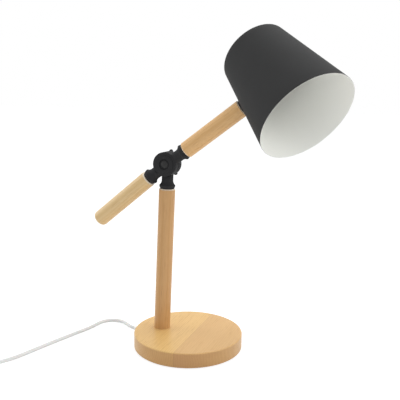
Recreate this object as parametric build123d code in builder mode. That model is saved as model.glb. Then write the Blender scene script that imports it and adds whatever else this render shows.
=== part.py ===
from build123d import *
import math
import os

# A desk lamp: a wooden disc base, a wooden post, a black friction hinge that carries a wooden arm
# with a stub behind it, and a black conical shade hung by its side wall on the arm's end.
# Millimetres. +Z is up, +X runs from the post toward the head, and the origin is the centre of
# the base's underside on the table. The camera side of the lamp is -Y.

# Sizes of the base
base_d = 150.0
base_t = 20.0
base_top_round = 1.6
base_low_round = 0.8
pad_d = 141.0
pad_t = 2.0
pad_proud = 1.0
weight_d = 90.0
weight_t = 8.0
weight_x = 20.0
weight_screw_ring_d = 60.0

# Sizes of the post, the arm and the stub, all turned from one dowel
rod_d = 22.3
wire_bore_d = 8.0
rod_end_chamfer = 1.2
post_x = -39.7
post_lean = 2.0
pivot_up = 233.4
arm_offset = 6.0
arm_drop = 1.2
arm_lift = 36.85
arm_reach = 130.6
arm_tilt_up = 3.0
stub_droop = 2.65
stub_len = 101.9
stub_seat = 0.5
stub_tuck = 1.5
stub_round = 5.0

# Sizes of the hinge
front_disc_d = 32.8
rear_disc_d = 32.8
hinge_split = 3.0
friction_t = 0.8
front_disc_t = 9.6
rear_disc_t = 10.6
plateau_d = 25.0
plateau_t = 0.8
recess_d = 14.5
recess_t = 1.5
boss_d = 10.6
pocket_d = 26.0
pocket_t = 4.4
neck_d = 15.8
flare_at = 22.8
bead_d = 21.8
bead_at = 29.8
collar_d = 18.4
shoulder_at = 34.0
spigot_d = 13.8
spigot_len = 20.0
bolt_d = 6.0
bolt_head_d = 10.6
bolt_head_t = 2.3
bolt_square = 6.0
bolt_square_t = 2.2
flat_washer_d = 16.0
flat_washer_t = 1.0
spring_washer_d = 11.0
spring_washer_t = 1.4
knob_hub_d = 15.0
knob_hub_len = 9.5
knob_span = 36.0
knob_wing_t = 3.6
knob_turned = 103.0
knob_nut_across = 10.0
knob_nut_t = 5.0

# Sizes of the hollow threaded tubes and their nuts
tube_d = 10.0
tube_bore_d = 7.0
tube_nut_across = 14.0
tube_nut_t = 4.0
insert_d = 14.0
insert_len = 18.0
foot_wood = 6.0
counterbore_d = 22.0
foot_washer_d = 19.0
foot_washer_t = 1.2

# Sizes of the head
rim_d = 128.0
crown_d = 90.0
shade_len = 124.0
shade_wall = 0.8
crown_round = 4.0
crown_plate_d = 74.0
hang_at = 76.0
shade_turn = 26.3
saddle_d = 20.0
saddle_t = 0.9
inner_saddle_t = 2.6
swivel_washer_t = 0.6
vent_count = 8
vent_d = 5.0
vent_ring_d = 58.0
bracket_w = 18.0
bracket_t = 2.0
bracket_bend = 5.0
bracket_tail = 10.0
bridge_gap = 17.0

# Sizes of the lamp holder, measured from the bracket's bridge toward the shade's rim
holder_d = 40.0
holder_wall = 2.2
cap_neck_d = 22.0
cap_len = 16.0
sleeve_len = 31.0
core_d = 31.0
core_at = 15.0
core_t = 7.0
core_recess_d = 20.0
core_recess_t = 4.6
shell_bore_d = 26.6
shell_wall = 0.4
shell_len = 22.0
shell_seat_t = 0.5
lip_bore_d = 29.0
lip_t = 3.0

# Sizes of the cord
cord_d = 5.0
inner_wire_d = 3.4
lead_wire_d = 2.8
gland_heading = 167.0
gland_z = 6.5
gland_hole_d = 8.2
gland_flange_d = 10.6
gland_flange_t = 1.3
gland_root_d = 8.0
gland_tip_d = 6.2
gland_seat = 35.1
gland_out = 49.5
gland_wall = 6.5
gland_barb_t = 1.8
gland_barb_d = 9.0
groove_w = 6.4
clamp_at = 20.0
clamp_len = 20.0
clamp_w = 6.0
clamp_t = 1.7
clamp_screw_gap = 13.0

# Sizes of the switch on the cord
switch_len = 56.0
switch_w = 24.0
switch_low_t = 7.5
switch_top_t = 8.0
switch_wall = 1.6
switch_round = 4.0
rocker_len = 17.0
rocker_w = 9.0
rocker_tilt = 7.0
rocker_pin_d = 2.0
rocker_rib_t = 2.0
cord_grip = 4.0
switch_heading = 232.0

# Sizes of the coil and the plug
coil_pitch = 5.6
coil_lift = 0.9
coil_turns = 7.5
coil_outer_r = 39.5
coil_lead_run = 24.0
coil_tail_run = 14.0
tie_w = 6.0
tie_t = 0.7
tie_bearing = 55.0
plug_heading = 90.0
plug_body_len = 26.0
plug_body_w = 35.3
plug_body_t = 13.7
plug_relief_len = 20.0
plug_relief_d = 9.0
pin_d = 4.0
pin_len = 19.0
pin_core_d = 3.0
pin_sleeve_d = 4.0
pin_sleeve_len = 10.0
pin_sunk = 8.0
pin_gap = 18.6

# Clearances
seat_gap = 0.05
running_gap = 0.08
disc_gap = 0.6
wire_gap = 0.5
groove_gap = 0.3
coil_gap_least = 0.4
cone_gap = 0.1
rocker_gap = 0.5
tube_play = 0.2
neck_gap = 0.4
shell_seat_gap = 0.15

# Places worked out from the sizes
up = (Align.CENTER, Align.CENTER, Align.MIN)
base_top = pad_proud + base_t
groove_top = gland_z + cord_d / 2 + seat_gap


def tilted(degrees):
    """The direction in the lamp's own upright plane that rises by these degrees from +X."""
    angle = math.radians(degrees)
    return Vector(math.cos(angle), 0, math.sin(angle))


def heading(degrees):
    """The level direction with this heading, counted from +X toward +Y."""
    angle = math.radians(degrees)
    return Vector(math.cos(angle), math.sin(angle), 0)


post_frame = Plane(origin=(post_x, 0, base_top), x_dir=tilted(-post_lean), z_dir=tilted(90 - post_lean))
pivot = post_frame.origin + post_frame.z_dir * pivot_up
down_frame = Plane(origin=pivot, x_dir=post_frame.x_dir, z_dir=-post_frame.z_dir)
# The arm lies in front of the post, and its line passes a little under the bolt
arm_origin = pivot - Vector(0, arm_offset, 0) - tilted(arm_lift + 90) * arm_drop
arm_frame = Plane(origin=arm_origin, x_dir=tilted(arm_lift - 90), z_dir=tilted(arm_lift))
back_frame = Plane(origin=arm_origin, x_dir=tilted(arm_lift + 90), z_dir=-tilted(arm_lift))
stub_frame = Plane(origin=back_frame.origin + back_frame.z_dir * (shoulder_at - stub_tuck),
                   x_dir=tilted(arm_lift + stub_droop + 90), z_dir=-tilted(arm_lift + stub_droop))
hinge_frame = Plane(origin=pivot, x_dir=(1, 0, 0), z_dir=(0, -1, 0))
rear_frame = Plane(origin=pivot, x_dir=tilted(knob_turned), z_dir=(0, 1, 0))

# The shade's wall lies square across the arm's end, so its axis leans by the cone's half angle
cone_angle = math.degrees(math.atan((rim_d - crown_d) / 2 / shade_len))
turn = math.radians(shade_turn)
swivel_x = arm_frame.x_dir * math.cos(turn) - arm_frame.y_dir * math.sin(turn)
swivel_frame = Plane(origin=arm_origin, x_dir=swivel_x, z_dir=arm_frame.z_dir)
lean = math.radians(90 - cone_angle)
toward_rim = swivel_frame.z_dir * math.cos(lean) + swivel_x * math.sin(lean)
wall_inward = swivel_frame.z_dir * math.sin(lean) - swivel_x * math.cos(lean)
hang_r = rim_d / 2 - hang_at * (rim_d - crown_d) / 2 / shade_len
hang_point = arm_origin + arm_frame.z_dir * arm_reach
rim_centre = hang_point + wall_inward * hang_r + toward_rim * hang_at
shade_frame = Plane(origin=rim_centre, x_dir=-wall_inward, z_dir=-toward_rim)
bridge_at = shade_len - shade_wall - bridge_gap
holder_frame = Plane(origin=rim_centre - toward_rim * bridge_at, x_dir=-wall_inward, z_dir=toward_rim)

arm_end = arm_reach - saddle_t - swivel_washer_t
foot_tube_low = -foot_wood - foot_washer_t - tube_nut_t - 0.8
gland_x = post_x - math.tan(math.radians(post_lean)) * (base_top - gland_z)
gland_frame = Plane(origin=(gland_x, 0, gland_z), x_dir=(0, 0, 1), z_dir=heading(gland_heading))

# Along the hinge's own axis, toward the viewer
front_inner = hinge_split + friction_t / 2
rear_inner = hinge_split - friction_t / 2
front_face = front_inner + front_disc_t
front_top = front_face + plateau_t
rear_face = rear_inner - rear_disc_t
recess_floor = front_top - recess_t


def side(frame):
    """The sketch plane that holds a frame's axis: X is the radius, Y the way along the axis."""
    return Plane(origin=frame.origin, x_dir=frame.x_dir, z_dir=-frame.y_dir)


def axis_of(frame):
    return Axis(frame.origin, frame.z_dir)


def drum(frame, start, end, diameter, mode=Mode.ADD):
    """A round bar or bore from start to end along the frame's axis, in the part being built."""
    with Locations(frame.offset(start).location):
        Cylinder(diameter / 2, end - start, align=up, mode=mode)


def hexagon(frame, start, end, across, mode=Mode.ADD):
    """A hexagonal bar or pocket from start to end along the frame's axis."""
    with BuildSketch(frame.offset(start)) as six:
        RegularPolygon(radius=across / 2, side_count=6, major_radius=False)
    extrude(six.sketch, amount=end - start, mode=mode)


def ring_part(frame, start, end, outer, inner):
    """A plain washer, sleeve or tube."""
    with BuildPart() as ring:
        drum(frame, start, end, outer)
        drum(frame, start, end, inner, Mode.SUBTRACT)
    return ring


def nut_part(frame, start, end, across, bore):
    """A hexagonal nut with its bore."""
    with BuildPart() as nut:
        hexagon(frame, start, end, across)
        drum(frame, start, end, bore, Mode.SUBTRACT)
    return nut


def split_washer(frame, start, end, outer, inner):
    """A spring washer: a ring with one narrow cut."""
    with BuildPart() as ring:
        drum(frame, start, end, outer)
        drum(frame, start, end, inner, Mode.SUBTRACT)
        with Locations(frame.offset(start).location):
            with Locations((outer / 2, 0, 0)):
                Box(outer, 0.8, end - start, align=up, mode=Mode.SUBTRACT)
    return ring


def screw(frame, start, head_d, shank_d, length):
    """A countersunk screw whose head is flush at start and whose shank runs along the axis."""
    with BuildSketch(side(frame.offset(start))) as profile:
        with BuildLine():
            Polyline((0, 0), (head_d / 2, 0), (shank_d / 2, head_d / 4), (shank_d / 2, length - 2),
                     (0, length))
            Line((0, length), (0, 0))
        make_face()
    revolve(profile.sketch, axis=axis_of(frame))
    with Locations(frame.offset(start).location):
        Box(head_d * 0.7, 0.8, 0.7, align=up, mode=Mode.SUBTRACT)


def save(sub_part, label):
    sub_part.part.label = label
    export_step(sub_part.part, f"parts/{label}.step")


def dowel(frame, start, end):
    """A length of the wooden rod with its bore for the wire."""
    drum(frame, start, end, rod_d)
    chamfer(faces().sort_by(axis_of(frame))[-1].edges(), rod_end_chamfer)


os.makedirs("parts", exist_ok=True)

# Base disc: edge-glued board, turned round, with pockets in its underside
screw_spots = [(weight_x + weight_screw_ring_d / 2 * math.cos(a), weight_screw_ring_d / 2 * math.sin(a))
               for a in (math.radians(60), math.radians(180), math.radians(300))]
weight_screw_d = 3.5
weight_screw_len = 15.0
with BuildPart() as base_disc:
    with BuildSketch(Plane.XY.offset(pad_proud)):
        Circle(base_d / 2)
    extrude(amount=base_t)
    fillet(edges().sort_by(Axis.Z)[-1], base_top_round)
    fillet(edges().sort_by(Axis.Z)[0], base_low_round)
    with BuildSketch(Plane.XY.offset(pad_proud)):
        Circle(pad_d / 2 + groove_gap)
    extrude(amount=pad_t - pad_proud, mode=Mode.SUBTRACT)
    with BuildSketch(Plane.XY.offset(pad_t)):
        with Locations((weight_x, 0)):
            Circle(weight_d / 2 + groove_gap)
    extrude(amount=weight_t + groove_gap, mode=Mode.SUBTRACT)
    with BuildSketch(Plane.XY.offset(pad_t)):
        with Locations(*screw_spots):
            Circle(weight_screw_d / 2)
    extrude(amount=groove_gap + weight_screw_len + 0.5, mode=Mode.SUBTRACT)
    # the drilling for the post leans with the post
    drum(post_frame, -base_t - 2, 2, tube_d + 2 * wire_gap, Mode.SUBTRACT)
    drum(post_frame, -base_t - 2, -foot_wood, counterbore_d, Mode.SUBTRACT)
    # the cord's groove, its hole through the rim and the spot face round it
    with Locations(Plane(origin=(gland_x, 0, pad_t), x_dir=heading(gland_heading)).location):
        Box(gland_seat - gland_wall, groove_w, groove_top - pad_t, align=(Align.MIN, Align.CENTER, Align.MIN),
            mode=Mode.SUBTRACT)
        with Locations((clamp_at, 0, 0)):
            Box(clamp_w + 2 * groove_gap, clamp_len + 2 * groove_gap, clamp_t + 2 * groove_gap, align=up,
                mode=Mode.SUBTRACT)
            with GridLocations(1, clamp_screw_gap, 1, 2):
                Cylinder(1.3, 12, align=up, mode=Mode.SUBTRACT)
    drum(gland_frame, 0, gland_seat + 1, gland_hole_d, Mode.SUBTRACT)
    inner_face = gland_seat - gland_wall
    drum(gland_frame, inner_face - gland_barb_t - groove_gap, inner_face, gland_barb_d + 2 * groove_gap,
         Mode.SUBTRACT)
    drum(gland_frame, gland_seat, gland_seat + 12, gland_flange_d + 2 * groove_gap, Mode.SUBTRACT)
save(base_disc, "base_disc")

# Steel weight: a cut disc with three countersunk holes, let into the underside
weight_low = pad_t + groove_gap
with BuildPart() as base_weight:
    with BuildSketch(Plane.XY.offset(weight_low)):
        with Locations((weight_x, 0)):
            Circle(weight_d / 2)
    extrude(amount=weight_t)
    for spot in screw_spots:
        drum(Plane(origin=(*spot, 0)), weight_low, weight_low + weight_t, weight_screw_d + 0.2, Mode.SUBTRACT)
        with Locations((*spot, weight_low)):
            Cone(3.6, 1.85, 1.75, align=up, mode=Mode.SUBTRACT)
save(base_weight, "base_weight")

with BuildPart() as weight_screws:
    for spot in screw_spots:
        screw(Plane(origin=(*spot, 0)), weight_low, 7.0, weight_screw_d - 0.1, weight_screw_len)
save(weight_screws, "weight_screws")

# Foot pad: die-cut foam sheet that closes the underside
with BuildPart() as base_pad:
    with BuildSketch(Plane.XY):
        Circle(pad_d / 2)
    extrude(amount=pad_t)
save(base_pad, "base_pad")

# Post: the dowel stands on the base, its foot cut to the base's top
with BuildPart() as post:
    dowel(post_frame, -1, pivot_up - shoulder_at)
    drum(post_frame, -1, pivot_up, wire_bore_d, Mode.SUBTRACT)
    drum(post_frame, -1, insert_len + groove_gap, insert_d, Mode.SUBTRACT)
    drum(down_frame, shoulder_at - 1, shoulder_at + spigot_len + groove_gap, spigot_d + 2 * seat_gap,
         Mode.SUBTRACT)
    split(bisect_by=Plane.XY.offset(base_top), keep=Keep.TOP)
save(post, "post")

save(ring_part(post_frame, groove_gap, groove_gap + insert_len, insert_d - 2 * seat_gap,
               tube_d + 2 * seat_gap), "post_insert")
save(ring_part(post_frame, foot_tube_low, insert_len, tube_d, tube_bore_d), "post_tube")
save(ring_part(post_frame, -foot_wood - foot_washer_t, -foot_wood, foot_washer_d, tube_d + 2 * tube_play),
     "foot_washer")
save(nut_part(post_frame, -foot_wood - foot_washer_t - tube_nut_t, -foot_wood - foot_washer_t,
              tube_nut_across, tube_d + 2 * seat_gap), "foot_nut")


def neck(frame):
    """A neck that flares to its bead and tapers to the collar at a rod's end."""
    with BuildSketch(side(frame)) as profile:
        with BuildLine():
            Line((0, 0), (neck_d / 2, 0))
            Line((neck_d / 2, 0), (neck_d / 2, flare_at))
            flare = TangentArc((neck_d / 2, flare_at), (bead_d / 2, bead_at - 0.6), tangent=(0, 1))
            Line(flare @ 1, (bead_d / 2, bead_at + 0.4))
            ThreePointArc((bead_d / 2, bead_at + 0.4),
                          ((bead_d + collar_d) / 4 + 0.25, (bead_at + shoulder_at) / 2 + 0.3),
                          (collar_d / 2, shoulder_at))
            Polyline((collar_d / 2, shoulder_at), (0, shoulder_at), (0, 0))
        make_face()
    revolve(profile.sketch, axis=axis_of(frame))


def spigot(frame, start):
    """The round peg that is glued into a rod."""
    drum(frame, start - 1, start + spigot_len, spigot_d)


def wire_way(frame, depth_at_disc):
    """The straight drilling for the wire, from the spigot's end to the pocket in the disc."""
    far = frame.origin + frame.z_dir * (shoulder_at + spigot_len + 1)
    near = pivot + frame.z_dir * (pocket_d / 2 - 2.5) + hinge_frame.z_dir * depth_at_disc
    way = Plane(origin=near, z_dir=far - near)
    drum(way, 0, (far - near).length, inner_wire_d + 2 * 0.4, Mode.SUBTRACT)


# Rear half of the hinge: black moulded nylon, on the post
rear_wire_depth = rear_inner - pocket_t / 2
front_wire_depth = front_inner + pocket_t / 2
with BuildPart() as post_knuckle:
    neck(down_frame)
    spigot(down_frame, shoulder_at)
    # clear of the front disc, and of what lies behind the rear disc's face
    drum(hinge_frame, rear_inner, front_top + 5, front_disc_d + 2 * disc_gap, Mode.SUBTRACT)
    drum(hinge_frame, rear_face - 12, rear_face, rear_disc_d + 1, Mode.SUBTRACT)
    # clear of the stub's neck while the arm tilts up
    half_tilt = arm_tilt_up / 2
    scoop_r = neck_d / 2 + neck_gap
    with Locations(Plane(origin=arm_origin, z_dir=-tilted(arm_lift + half_tilt)).location):
        Cone(scoop_r, scoop_r + flare_at * math.tan(math.radians(half_tilt)), flare_at, align=up,
             mode=Mode.SUBTRACT)
    drum(hinge_frame, rear_face, rear_inner, rear_disc_d)
    drum(hinge_frame, rear_inner - pocket_t, rear_inner, pocket_d, Mode.SUBTRACT)
    drum(hinge_frame, rear_face, rear_inner, boss_d)
    wire_way(down_frame, rear_wire_depth)
    drum(hinge_frame, rear_face - 1, rear_inner + 1, bolt_d + 2 * running_gap, Mode.SUBTRACT)
save(post_knuckle, "post_knuckle")

# Front half of the hinge: the same black nylon, with two necks for the arm and the stub
with BuildPart() as arm_knuckle:
    neck(arm_frame)
    # the stub's neck is a little shorter, and its collar and peg lean because the stub droops
    neck(back_frame.offset(-stub_tuck))
    drum(stub_frame, -1, stub_seat, collar_d)
    drum(hinge_frame, rear_face - 12, front_inner, rear_disc_d + 2 * disc_gap, Mode.SUBTRACT)
    drum(hinge_frame, front_face, front_top + 5, front_disc_d, Mode.SUBTRACT)
    spigot(arm_frame, shoulder_at)
    spigot(stub_frame, stub_seat)
    drum(hinge_frame, front_inner, front_face, front_disc_d)
    drum(hinge_frame, front_face - 0.5, front_top, plateau_d)
    fillet(faces().sort_by(axis_of(hinge_frame))[-1].edges(), 0.6)
    drum(hinge_frame, recess_floor, front_top + 1, recess_d, Mode.SUBTRACT)
    drum(hinge_frame, front_inner, front_inner + pocket_t, pocket_d, Mode.SUBTRACT)
    drum(hinge_frame, front_inner, recess_floor, boss_d)
    wire_way(arm_frame, front_wire_depth)
    drum(hinge_frame, front_inner - 1, recess_floor + 1, bolt_d + 2 * running_gap, Mode.SUBTRACT)
    with BuildSketch(hinge_frame.offset(recess_floor - bolt_square_t)):
        Rectangle(bolt_square + 2 * running_gap, bolt_square + 2 * running_gap)
    extrude(amount=bolt_square_t, mode=Mode.SUBTRACT)
save(arm_knuckle, "arm_knuckle")

# Fibre ring between the two discs
save(ring_part(hinge_frame, rear_inner + seat_gap, front_inner - seat_gap, rear_disc_d - 1, pocket_d + 0.4),
     "friction_ring")

# Hinge bolt: domed head in the front recess, square neck, round shank
bolt_end = rear_face - flat_washer_t - spring_washer_t - 6.5
with BuildPart() as hinge_bolt:
    with BuildSketch(side(hinge_frame.offset(recess_floor))):
        with BuildLine():
            Polyline((0, bolt_head_t), (0, 0), (bolt_head_d / 2, 0), (bolt_head_d / 2, 0.6))
            TangentArc((0, bolt_head_t), (bolt_head_d / 2, 0.6), tangent=(1, 0))
        make_face()
    revolve(axis=axis_of(hinge_frame))
    with BuildSketch(hinge_frame.offset(recess_floor - bolt_square_t)):
        Rectangle(bolt_square, bolt_square)
    extrude(amount=bolt_square_t)
    drum(hinge_frame, bolt_end, recess_floor - bolt_square_t, bolt_d)
save(hinge_bolt, "hinge_bolt")

# Behind the hinge: flat washer, spring washer and the wing knob with its brass nut
washer_far = -rear_face + flat_washer_t
knob_near = washer_far + spring_washer_t
save(ring_part(rear_frame, -rear_face, washer_far, flat_washer_d, bolt_d + 0.4), "hinge_washer")
save(split_washer(rear_frame, washer_far, knob_near, spring_washer_d, bolt_d + 0.4), "hinge_spring")
save(nut_part(rear_frame, knob_near, knob_near + knob_nut_t, knob_nut_across, bolt_d + 2 * running_gap),
     "knob_nut")

knob_far = knob_near + knob_hub_len
half_span = knob_span / 2
with BuildPart() as knob_wings:
    with BuildSketch(rear_frame.offset(knob_near)):
        SlotOverall(knob_span, knob_wing_t)
    extrude(amount=knob_hub_len + 2)
    with BuildSketch(side(rear_frame)):
        with BuildLine():
            Polyline((-5, knob_near + 1.5), (knob_hub_d / 2 + 1, knob_near + 1.5),
                     (half_span - 4, knob_near + 4.5), (half_span, knob_near + 6.5),
                     (half_span, knob_far + 0.5), (half_span - 4.5, knob_far + 1.5),
                     (knob_hub_d / 2, knob_far - 1.8), (-5, knob_far - 1.8), (-5, knob_near + 1.5))
        make_face()
        fillet(vertices().sort_by(Axis.X)[-4:], 1.4)
        mirror(about=Plane.YZ)
    extrude(amount=knob_wing_t, both=True, mode=Mode.INTERSECT)
with BuildPart() as wing_knob:
    drum(rear_frame, knob_near, knob_far, knob_hub_d)
    fillet(faces().sort_by(axis_of(rear_frame))[-1].edges(), 3.0)
    add(knob_wings.part)
    hexagon(rear_frame, knob_near, knob_near + knob_nut_t, knob_nut_across + 2 * seat_gap, Mode.SUBTRACT)
    drum(rear_frame, knob_near, knob_near + 7.2, bolt_d + 0.6, Mode.SUBTRACT)
save(wing_knob, "wing_knob")

# Arm and stub: the same dowel, each glued over a spigot of the hinge's front half
with BuildPart() as upper_arm:
    dowel(arm_frame, shoulder_at, arm_end)
    chamfer(faces().sort_by(axis_of(arm_frame))[0].edges(), rod_end_chamfer)
    drum(arm_frame, shoulder_at, arm_end, wire_bore_d, Mode.SUBTRACT)
    drum(arm_frame, shoulder_at, shoulder_at + spigot_len + groove_gap, spigot_d + 2 * seat_gap,
         Mode.SUBTRACT)
    drum(arm_frame, arm_end - insert_len - groove_gap, arm_end, insert_d, Mode.SUBTRACT)
save(upper_arm, "upper_arm")

with BuildPart() as stub_rod:
    drum(stub_frame, stub_seat, stub_len, rod_d)
    fillet(faces().sort_by(axis_of(stub_frame))[-1].edges(), stub_round)
    chamfer(faces().sort_by(axis_of(stub_frame))[0].edges(), rod_end_chamfer)
    drum(stub_frame, stub_seat, stub_seat + spigot_len + groove_gap, spigot_d + 2 * seat_gap, Mode.SUBTRACT)
save(stub_rod, "stub_rod")

# Swivel at the arm's end: threaded insert, hollow tube, washers and nut, all on the arm's line
inner_seat = arm_reach + shade_wall + inner_saddle_t
strap_face = inner_seat + bracket_t
swivel_spring_t = 1.8
swivel_nut_near = strap_face + swivel_spring_t
swivel_tube_end = swivel_nut_near + tube_nut_t + 1.5
save(ring_part(arm_frame, arm_end - insert_len, arm_end - groove_gap, insert_d - 2 * seat_gap,
               tube_d + 2 * seat_gap), "arm_insert")
save(ring_part(arm_frame, arm_end - insert_len, swivel_tube_end, tube_d, tube_bore_d), "swivel_tube")
save(ring_part(arm_frame, arm_end, arm_end + swivel_washer_t - seat_gap, saddle_d - 1,
               tube_d + 2 * tube_play), "swivel_washer")
save(split_washer(arm_frame, strap_face + seat_gap, swivel_nut_near, 16.0, tube_d + 2 * tube_play),
     "swivel_spring")
save(nut_part(arm_frame, swivel_nut_near, swivel_nut_near + tube_nut_t, tube_nut_across,
              tube_d + 2 * seat_gap), "swivel_nut")


def shade_body(inset):
    """The solid cone inside the shade's outer skin, drawn in by a wall thickness."""
    half = math.radians(cone_angle)
    slope = (rim_d - crown_d) / 2 / shade_len
    skin = inset / math.cos(half)
    high = shade_len - inset
    with BuildPart() as cone:
        with BuildSketch(side(shade_frame)):
            with BuildLine():
                Polyline((0, 0), (rim_d / 2 - skin, 0), (rim_d / 2 - skin - slope * high, high), (0, high),
                         (0, 0))
            make_face()
        revolve(axis=axis_of(shade_frame))
        fillet(edges().sort_by(axis_of(shade_frame))[-1], crown_round - inset)
    return cone.part


outer_cone = shade_body(0)
inner_cone = shade_body(shade_wall)

# Saddles: black moulded washers, one side flat and the other shaped to the cone
with BuildPart() as outer_saddle:
    drum(swivel_frame, arm_reach - saddle_t, arm_reach + 3, saddle_d)
    add(shade_body(-cone_gap), mode=Mode.SUBTRACT)
    drum(swivel_frame, arm_reach - saddle_t, arm_reach + 3, tube_d + 2 * tube_play, Mode.SUBTRACT)
save(outer_saddle, "outer_saddle")

with BuildPart() as inner_saddle:
    drum(swivel_frame, arm_reach - 1, inner_seat, saddle_d)
    add(shade_body(shade_wall + cone_gap), mode=Mode.INTERSECT)
    drum(swivel_frame, arm_reach - 1, inner_seat, tube_d + 2 * tube_play, Mode.SUBTRACT)
save(inner_saddle, "inner_saddle")

# Shade: spun steel cone, open at the rim and rounded in at the crown
with BuildPart() as shade:
    add(outer_cone)
    add(inner_cone, mode=Mode.SUBTRACT)
    drum(swivel_frame, arm_reach - 5, arm_reach + tube_d, tube_d + 2 * tube_play, Mode.SUBTRACT)
    drum(shade_frame, shade_len - crown_round, shade_len + 1, crown_plate_d, Mode.SUBTRACT)
save(shade, "shade")

# Crown plate: the vented steel disc that is welded flush into the shade's crown
with BuildPart() as crown_plate:
    drum(shade_frame, shade_len - shade_wall, shade_len, crown_plate_d - 2 * seat_gap)
    with BuildSketch(shade_frame.offset(shade_len - shade_wall)):
        with PolarLocations(vent_ring_d / 2, vent_count):
            Circle(vent_d / 2)
    extrude(amount=shade_wall, mode=Mode.SUBTRACT)
save(crown_plate, "crown_plate")

# Bracket: a steel strap from the swivel up the inside of the wall, bent across the shade's axis
strap_x = shade_frame.to_local_coords(arm_origin + arm_frame.z_dir * (inner_seat + bracket_t / 2))
strap_slope = math.tan(math.radians(cone_angle))
bridge_mid = bridge_at + bracket_t / 2
lead_hole_x = 27.0
with BuildPart() as holder_bracket:
    with BuildSketch(side(shade_frame)):
        with BuildLine():
            FilletPolyline((strap_x.X + bracket_tail * strap_slope, strap_x.Z - bracket_tail),
                           (strap_x.X - (bridge_mid - strap_x.Z) * strap_slope, bridge_mid),
                           (-bracket_tail, bridge_mid), radius=bracket_bend)
        trace(line_width=bracket_t)
    extrude(amount=bracket_w / 2, both=True)
    drum(swivel_frame, arm_reach, strap_face + 2, tube_d + 2 * tube_play, Mode.SUBTRACT)
    drum(shade_frame, bridge_at - 3, bridge_at + 6, tube_d + 2 * tube_play, Mode.SUBTRACT)
    with Locations(shade_frame.offset(bridge_at - 3).location):
        with Locations((lead_hole_x, 0, 0)):
            Cylinder(lead_wire_d / 2 + wire_gap, 4 * bracket_t, align=up, mode=Mode.SUBTRACT)
save(holder_bracket, "holder_bracket")

# Lamp holder for an E27 bulb, hung under the bridge by a short hollow tube and a nut
cap_thread = 7.0
save(ring_part(holder_frame, -bracket_t - tube_nut_t - 1.2, cap_thread, tube_d, tube_bore_d), "holder_tube")
save(nut_part(holder_frame, -bracket_t - tube_nut_t, -bracket_t, tube_nut_across, tube_d + 2 * seat_gap),
     "holder_nut")

with BuildPart() as holder_cap:
    with BuildSketch(side(holder_frame)):
        with BuildLine():
            Line((0, seat_gap), (cap_neck_d / 2, seat_gap))
            Spline((cap_neck_d / 2, seat_gap), (holder_d / 2, cap_len - 3), tangents=((0.6, 1), (0, 1)))
            Polyline((holder_d / 2, cap_len - 3), (holder_d / 2, cap_len), (0, cap_len), (0, seat_gap))
        make_face()
    revolve(axis=axis_of(holder_frame))
    with BuildSketch(side(holder_frame)):
        with BuildLine():
            Line((0, cap_thread + 1), (cap_neck_d / 2 - 2, cap_thread + 1))
            Polyline((cap_neck_d / 2 - 2, cap_thread + 1), (holder_d / 2 - holder_wall, cap_len - 3),
                     (holder_d / 2 - holder_wall, cap_len), (0, cap_len), (0, cap_thread + 1))
        make_face()
    revolve(axis=axis_of(holder_frame), mode=Mode.SUBTRACT)
    drum(holder_frame, 0, cap_len, tube_d + 2 * seat_gap, Mode.SUBTRACT)
save(holder_cap, "holder_cap")

sleeve_end = cap_len + seat_gap + sleeve_len
inner_r = holder_d / 2 - holder_wall
with BuildPart() as holder_sleeve:
    drum(holder_frame, cap_len + seat_gap, sleeve_end, holder_d)
    drum(holder_frame, cap_len + seat_gap, sleeve_end - lip_t, 2 * inner_r, Mode.SUBTRACT)
    drum(holder_frame, cap_len, sleeve_end, lip_bore_d, Mode.SUBTRACT)
    fillet(edges().sort_by(axis_of(holder_frame))[-1], 0.8)
    # the collar that holds the core also reaches into the cap
    drum(holder_frame, core_at, core_at + core_t - 1, 2 * inner_r - 2 * seat_gap)
    drum(holder_frame, cap_len + seat_gap, core_at + core_t - 1, 2 * inner_r + 0.2)
    drum(holder_frame, core_at, core_at + core_t - 1, core_d + 2 * seat_gap, Mode.SUBTRACT)
save(holder_sleeve, "holder_sleeve")

# Inside the holder: porcelain core, brass thread shell and centre contact
shell_near = core_at + core_t
core_floor = shell_near - core_recess_t
with BuildPart() as holder_core:
    drum(holder_frame, core_at, shell_near, core_d)
    drum(holder_frame, core_floor, shell_near, core_recess_d, Mode.SUBTRACT)
    drum(holder_frame, core_at, shell_near, lead_wire_d + 1, Mode.SUBTRACT)
save(holder_core, "holder_core")

with BuildPart() as thread_shell:
    drum(holder_frame, shell_near, shell_near + shell_len, shell_bore_d + 2 * shell_wall)
    drum(holder_frame, shell_near, shell_near + shell_len, shell_bore_d, Mode.SUBTRACT)
    drum(holder_frame, shell_near, shell_near + shell_seat_t, shell_bore_d + 2 * shell_seat_gap,
         Mode.SUBTRACT)
save(thread_shell, "thread_shell")

with BuildPart() as centre_contact:
    with BuildSketch(side(holder_frame)):
        with BuildLine():
            FilletPolyline((-9, core_floor + 0.4), (-4, core_floor + 0.4), (0, core_floor + 4),
                           (4, core_floor + 4), radius=0.9)
        trace(line_width=0.7)
    extrude(amount=2.5, both=True)
save(centre_contact, "centre_contact")


def tube_along(path, diameter):
    """A round tube swept along a path of straight runs and arcs."""
    with BuildPart() as tube:
        with BuildSketch(Plane(origin=path @ 0, z_dir=path % 0)):
            Circle(diameter / 2)
        sweep(path=path)
    return tube


def report_tube(name, tube, path, diameter):
    even_volume = math.pi * diameter ** 2 / 4 * path.length
    share = tube.part.volume / even_volume
    print(f"{name}: length {path.length:.1f}, volume over section x length {share:.4f}")


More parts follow.
